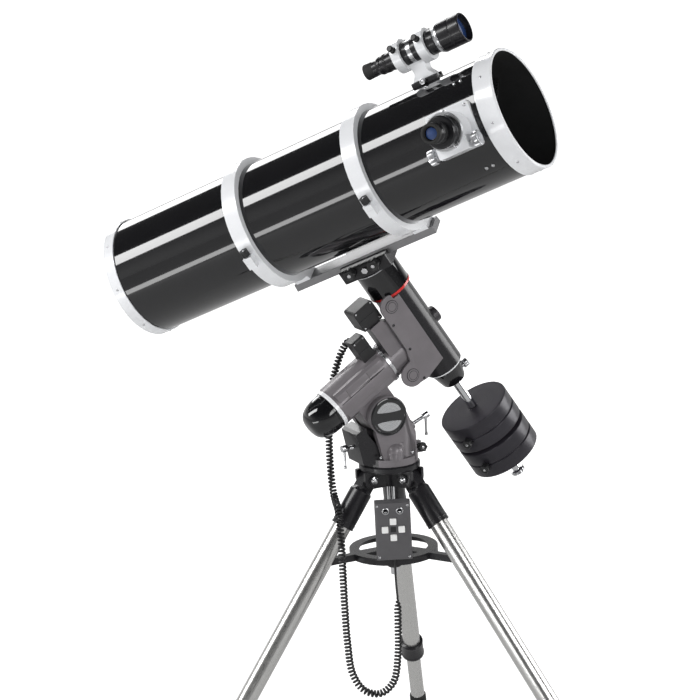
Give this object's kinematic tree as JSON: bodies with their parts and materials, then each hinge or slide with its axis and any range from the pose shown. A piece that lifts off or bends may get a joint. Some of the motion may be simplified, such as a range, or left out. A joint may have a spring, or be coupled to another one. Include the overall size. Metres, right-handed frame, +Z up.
{
  "type": "telescope on tripod",
  "caption": "Reflecting telescope in hinged rings on an equatorial mount with counterweights, handset and folding tripod.",
  "frame": {"origin": "on the floor under the middle of the telescope, feet on Z = 0", "axes": "+Z up; +X the way the polar axis leans, in the plane of one leg and the two mount axes; +Y completes the right-handed frame"},
  "size_m": [0.8932, 0.9826, 1.6237],
  "materials": {
    "aluminium": "grey anodised aluminium",
    "black_paint": "satin black paint",
    "black_plastic": "moulded black plastic",
    "chrome": "polished chrome",
    "cord": "black cord jacket",
    "gloss_black": "high gloss black paint",
    "grey_paint": "fine textured grey paint",
    "grey_plastic": "moulded grey plastic",
    "iron": "satin dark grey paint over iron",
    "mirror": "aluminised mirror",
    "steel": "polished stainless tube",
    "white_paint": "smooth white paint",
    "white_plastic": "white key cap"
  },
  "bodies": {
    "hub": {"tripod_hub": "black_paint"},
    "leg_1": {"upper_leg_1": "steel"},
    "inner_leg_1": {"lower_leg_1": "steel"},
    "clamp_1": {"leg_knob_1": "black_plastic"},
    "leg_2": {"upper_leg_2": "steel"},
    "inner_leg_2": {"lower_leg_2": "steel"},
    "clamp_2": {"leg_knob_2": "black_plastic"},
    "leg_3": {"upper_leg_3": "steel"},
    "inner_leg_3": {"lower_leg_3": "steel"},
    "clamp_3": {"leg_knob_3": "black_plastic"},
    "spreader": {"spreader": "black_paint"},
    "spreader_grip": {"spreader_knob": "black_plastic"},
    "fork": {"fork": "grey_paint", "curly_cord": "cord"},
    "azimuth_bolt_1": {"azimuth_knob_1": "black_plastic"},
    "azimuth_bolt_2": {"azimuth_knob_2": "black_plastic"},
    "front_latitude_bolt": {"latitude_bolt_front": "chrome"},
    "rear_latitude_bolt": {"latitude_bolt_rear": "chrome"},
    "ra_housing": {"ra_housing": "grey_paint", "ra_motor": "black_paint"},
    "polar_cap": {"polar_cap": "gloss_black"},
    "ra_lever": {"ra_clutch": "chrome"},
    "dec_housing": {"dec_housing": "grey_paint", "cover_plate": "grey_paint", "dec_motor": "black_paint"},
    "dec_lever": {"dec_clutch": "chrome"},
    "shaft_lock": {"shaft_lock_knob": "chrome"},
    "shaft": {"counterweight_shaft": "chrome"},
    "weight_1": {"counterweight_1": "iron"},
    "weight_1_grip": {"weight_knob_1": "black_plastic"},
    "weight_2": {"counterweight_2": "iron"},
    "weight_2_grip": {"weight_knob_2": "black_plastic"},
    "dec_head": {"dec_head": "gloss_black"},
    "saddle_clamp_1": {"saddle_knob_1": "black_plastic"},
    "saddle_clamp_2": {"saddle_knob_2": "black_plastic"},
    "carriage": {"dovetail_bar": "aluminium", "ring_lower_1": "white_paint", "ring_lower_2": "white_paint"},
    "ring_1": {"ring_upper_1": "white_paint"},
    "ring_1_clamp": {"ring_knob_1": "black_plastic"},
    "ring_2": {"ring_upper_2": "white_paint"},
    "ring_2_clamp": {"ring_knob_2": "black_plastic"},
    "optical_tube": {"tube": "gloss_black", "front_ring": "white_paint", "rear_cell": "white_paint", "primary_mirror": "mirror", "spider": "black_paint", "focuser": "white_paint"},
    "focus_shaft": {"focus_knobs": "chrome"},
    "drawtube": {"drawtube": "black_paint"},
    "eyepiece": {"eyepiece": "black_plastic"},
    "finder": {"finder_bracket": "white_paint", "finder": "black_paint"},
    "handset": {"controller": "grey_plastic"},
    "button_up_key": {"button_up": "white_plastic"},
    "button_down_key": {"button_down": "white_plastic"},
    "button_left_key": {"button_left": "white_plastic"},
    "button_right_key": {"button_right": "white_plastic"},
    "toggle_1": {"switch_1": "chrome"},
    "toggle_2": {"switch_2": "chrome"}
  },
  "joints": [
    {"name": "leg_1_fold", "type": "hinge", "parent": "hub", "child": "leg_1", "pos_m": [0.07055, 0, 0.694], "axis": [0, -1, 0], "range_deg": [0, 18]},
    {"name": "leg_1_extend", "type": "slide", "parent": "leg_1", "child": "inner_leg_1", "axis": [-0.5807, 0, -0.8141], "range_m": [0, 0.25]},
    {"name": "leg_knob_1_turn", "type": "hinge", "parent": "leg_1", "child": "clamp_1", "pos_m": [-0.29413, 0, 0.18274], "axis": [-0.8141, 0, 0.5807], "continuous": true},
    {"name": "leg_2_fold", "type": "hinge", "parent": "hub", "child": "leg_2", "pos_m": [0.14255, -0.04157, 0.694], "axis": [0.866, 0.5, 0], "range_deg": [0, 18]},
    {"name": "leg_2_extend", "type": "slide", "parent": "leg_2", "child": "inner_leg_2", "axis": [0.2904, -0.5029, -0.8141], "range_m": [0, 0.25]},
    {"name": "leg_knob_2_turn", "type": "hinge", "parent": "leg_2", "child": "clamp_2", "pos_m": [0.32489, -0.35739, 0.18274], "axis": [0.4071, -0.705, 0.5807], "continuous": true},
    {"name": "leg_3_fold", "type": "hinge", "parent": "hub", "child": "leg_3", "pos_m": [0.14255, 0.04157, 0.694], "axis": [-0.866, 0.5, 0], "range_deg": [0, 18]},
    {"name": "leg_3_extend", "type": "slide", "parent": "leg_3", "child": "inner_leg_3", "axis": [0.2904, 0.5029, -0.8141], "range_m": [0, 0.25]},
    {"name": "leg_knob_3_turn", "type": "hinge", "parent": "leg_3", "child": "clamp_3", "pos_m": [0.32489, 0.35739, 0.18274], "axis": [0.4071, 0.705, 0.5807], "continuous": true},
    {"name": "spreader_drop", "type": "slide", "parent": "hub", "child": "spreader", "axis": [0, 0, -1], "range_m": [0, 0.217]},
    {"name": "spreader_knob_turn", "type": "hinge", "parent": "spreader", "child": "spreader_grip", "pos_m": [0.11855, 0, 0.52], "axis": [0, 0, 1], "continuous": true},
    {"name": "azimuth", "type": "hinge", "parent": "hub", "child": "fork", "pos_m": [0.11855, 0, 0.722], "axis": [0, 0, 1], "range_deg": [-8, 8]},
    {"name": "azimuth_knob_1_slide", "type": "slide", "parent": "fork", "child": "azimuth_bolt_1", "axis": [0, -1, 0], "range_m": [-0.0076, 0.0076]},
    {"name": "azimuth_knob_2_slide", "type": "slide", "parent": "fork", "child": "azimuth_bolt_2", "axis": [0, -1, 0], "range_m": [-0.0076, 0.0076]},
    {"name": "front_bolt_turn", "type": "hinge", "parent": "fork", "child": "front_latitude_bolt", "pos_m": [0.14955, 0, 0.7784], "axis": [0.9135, 0, 0.4067], "range_deg": [-90, 90]},
    {"name": "rear_bolt_turn", "type": "hinge", "parent": "fork", "child": "rear_latitude_bolt", "pos_m": [0.05255, 0, 0.762], "axis": [-1, 0, 0], "range_deg": [-90, 90]},
    {"name": "altitude", "type": "hinge", "parent": "fork", "child": "ra_housing", "pos_m": [0.09955, 0, 0.825], "axis": [0, -1, 0], "range_deg": [-10, 12]},
    {"name": "polar_cap_pull", "type": "slide", "parent": "ra_housing", "child": "polar_cap", "axis": [-0.8387, 0, -0.5446], "range_m": [0, 0.03]},
    {"name": "ra_clutch_turn", "type": "hinge", "parent": "ra_housing", "child": "ra_lever", "pos_m": [0.0868, 0, 0.91807], "axis": [0, 1, 0], "range_deg": [-60, 0]},
    {"name": "ra", "type": "hinge", "parent": "ra_housing", "child": "dec_housing", "pos_m": [0.20069, 0, 0.97772], "axis": [0.8387, 0, 0.5446], "range_deg": [-90, 90]},
    {"name": "dec_clutch_turn", "type": "hinge", "parent": "dec_housing", "child": "dec_lever", "pos_m": [0.15058, 0, 1.05488], "axis": [0, 1, 0], "range_deg": [-60, 0]},
    {"name": "shaft_lock_turn", "type": "hinge", "parent": "dec_housing", "child": "shaft_lock", "pos_m": [0.26659, 0, 0.87624], "axis": [0.8387, 0, 0.5446], "continuous": true},
    {"name": "shaft_slide", "type": "slide", "parent": "dec_housing", "child": "shaft", "axis": [-0.5446, 0, 0.8387], "range_m": [-0.04, 0]},
    {"name": "weight_1_slide", "type": "slide", "parent": "shaft", "child": "weight_1", "axis": [-0.5446, 0, 0.8387], "range_m": [0, 0.015]},
    {"name": "weight_knob_1_turn", "type": "hinge", "parent": "weight_1", "child": "weight_1_grip", "pos_m": [0.32949, 0, 0.77938], "axis": [-0.687, -0.5736, -0.4461], "continuous": true},
    {"name": "weight_2_slide", "type": "slide", "parent": "shaft", "child": "weight_2", "axis": [-0.5446, 0, 0.8387], "range_m": [-0.03, 0]},
    {"name": "weight_knob_2_turn", "type": "hinge", "parent": "weight_2", "child": "weight_2_grip", "pos_m": [0.36707, 0, 0.72151], "axis": [-0.687, -0.5736, -0.4461], "continuous": true},
    {"name": "dec", "type": "hinge", "parent": "dec_housing", "child": "dec_head", "pos_m": [0.20069, 0, 0.97772], "axis": [-0.5446, 0, 0.8387], "continuous": true},
    {"name": "saddle_knob_1_turn", "type": "hinge", "parent": "dec_head", "child": "saddle_clamp_1", "pos_m": [0.07554, 0.0198, 1.13409], "axis": [-0.593, -0.7071, -0.3851], "continuous": true},
    {"name": "saddle_knob_2_turn", "type": "hinge", "parent": "dec_head", "child": "saddle_clamp_2", "pos_m": [0.10874, -0.0198, 1.15565], "axis": [-0.593, -0.7071, -0.3851], "continuous": true},
    {"name": "tube_slide", "type": "slide", "parent": "dec_head", "child": "carriage", "axis": [0.593, -0.7071, 0.3851], "range_m": [-0.04, 0.04]},
    {"name": "ring_1_open", "type": "hinge", "parent": "carriage", "child": "ring_1", "pos_m": [0.17463, -0.00177, 1.37813], "axis": [-0.593, 0.7071, -0.3851], "range_deg": [0, 100]},
    {"name": "ring_knob_1_turn", "type": "hinge", "parent": "ring_1", "child": "ring_1_clamp", "pos_m": [0.00947, -0.1987, 1.27087], "axis": [-0.5446, 0, 0.8387], "continuous": true},
    {"name": "ring_2_open", "type": "hinge", "parent": "carriage", "child": "ring_2", "pos_m": [0.00858, 0.19622, 1.27029], "axis": [-0.593, 0.7071, -0.3851], "range_deg": [0, 100]},
    {"name": "ring_knob_2_turn", "type": "hinge", "parent": "ring_2", "child": "ring_2_clamp", "pos_m": [-0.15658, -0.00071, 1.16304], "axis": [-0.5446, 0, 0.8387], "continuous": true},
    {"name": "tube_turn", "type": "hinge", "parent": "carriage", "child": "optical_tube", "pos_m": [0.01006, 0, 1.27126], "axis": [0.593, -0.7071, 0.3851], "continuous": true},
    {"name": "focus_turn", "type": "hinge", "parent": "optical_tube", "child": "focus_shaft", "pos_m": [0.11395, -0.35019, 1.39011], "axis": [0.593, -0.7071, 0.3851], "range_deg": [-22, 343]},
    {"name": "focus_slide", "type": "slide", "parent": "optical_tube", "child": "drawtube", "axis": [-0.7859, -0.6124, 0.0858], "range_m": [-0.0019, 0.0299]},
    {"name": "eyepiece_lift", "type": "slide", "parent": "drawtube", "child": "eyepiece", "axis": [-0.7859, -0.6124, 0.0858], "range_m": [0, 0.016]},
    {"name": "finder_slide", "type": "slide", "parent": "optical_tube", "child": "finder", "axis": [0.593, -0.7071, 0.3851], "range_m": [-0.03, 0.03]},
    {"name": "handset_lift", "type": "slide", "parent": "hub", "child": "handset", "axis": [0, 0, 1], "range_m": [0, 0.03]},
    {"name": "button_up_press", "type": "slide", "parent": "handset", "child": "button_up_key", "axis": [0.4226, 0.9063, 0], "range_m": [0, 0.0015], "stiffness_N_per_m": 400, "springref_m": -0.001},
    {"name": "button_down_press", "type": "slide", "parent": "handset", "child": "button_down_key", "axis": [0.4226, 0.9063, 0], "range_m": [0, 0.0015], "stiffness_N_per_m": 400, "springref_m": -0.001},
    {"name": "button_left_press", "type": "slide", "parent": "handset", "child": "button_left_key", "axis": [0.4226, 0.9063, 0], "range_m": [0, 0.0015], "stiffness_N_per_m": 400, "springref_m": -0.001},
    {"name": "button_right_press", "type": "slide", "parent": "handset", "child": "button_right_key", "axis": [0.4226, 0.9063, 0], "range_m": [0, 0.0015], "stiffness_N_per_m": 400, "springref_m": -0.001},
    {"name": "switch_1_throw", "type": "hinge", "parent": "handset", "child": "toggle_1", "pos_m": [0.06719, -0.07701, 0.6438], "axis": [0.9063, -0.4226, 0], "range_deg": [-15, 15]},
    {"name": "switch_2_throw", "type": "hinge", "parent": "handset", "child": "toggle_2", "pos_m": [0.09257, -0.08884, 0.6438], "axis": [0.9063, -0.4226, 0], "range_deg": [-15, 15]}
  ],
  "couplings": [
    {"joint": "leg_2_fold", "follows": "leg_1_fold", "ratio": 1},
    {"joint": "leg_3_fold", "follows": "leg_1_fold", "ratio": 1},
    {"joint": "spreader_drop", "follows": "leg_1_fold", "m_per_rad": 0.6875},
    {"joint": "azimuth_knob_1_slide", "follows": "azimuth", "m_per_rad": 0.0535},
    {"joint": "azimuth_knob_2_slide", "follows": "azimuth", "m_per_rad": 0.0535},
    {"joint": "focus_turn", "follows": "focus_slide", "rad_per_m": 200}
  ]
}
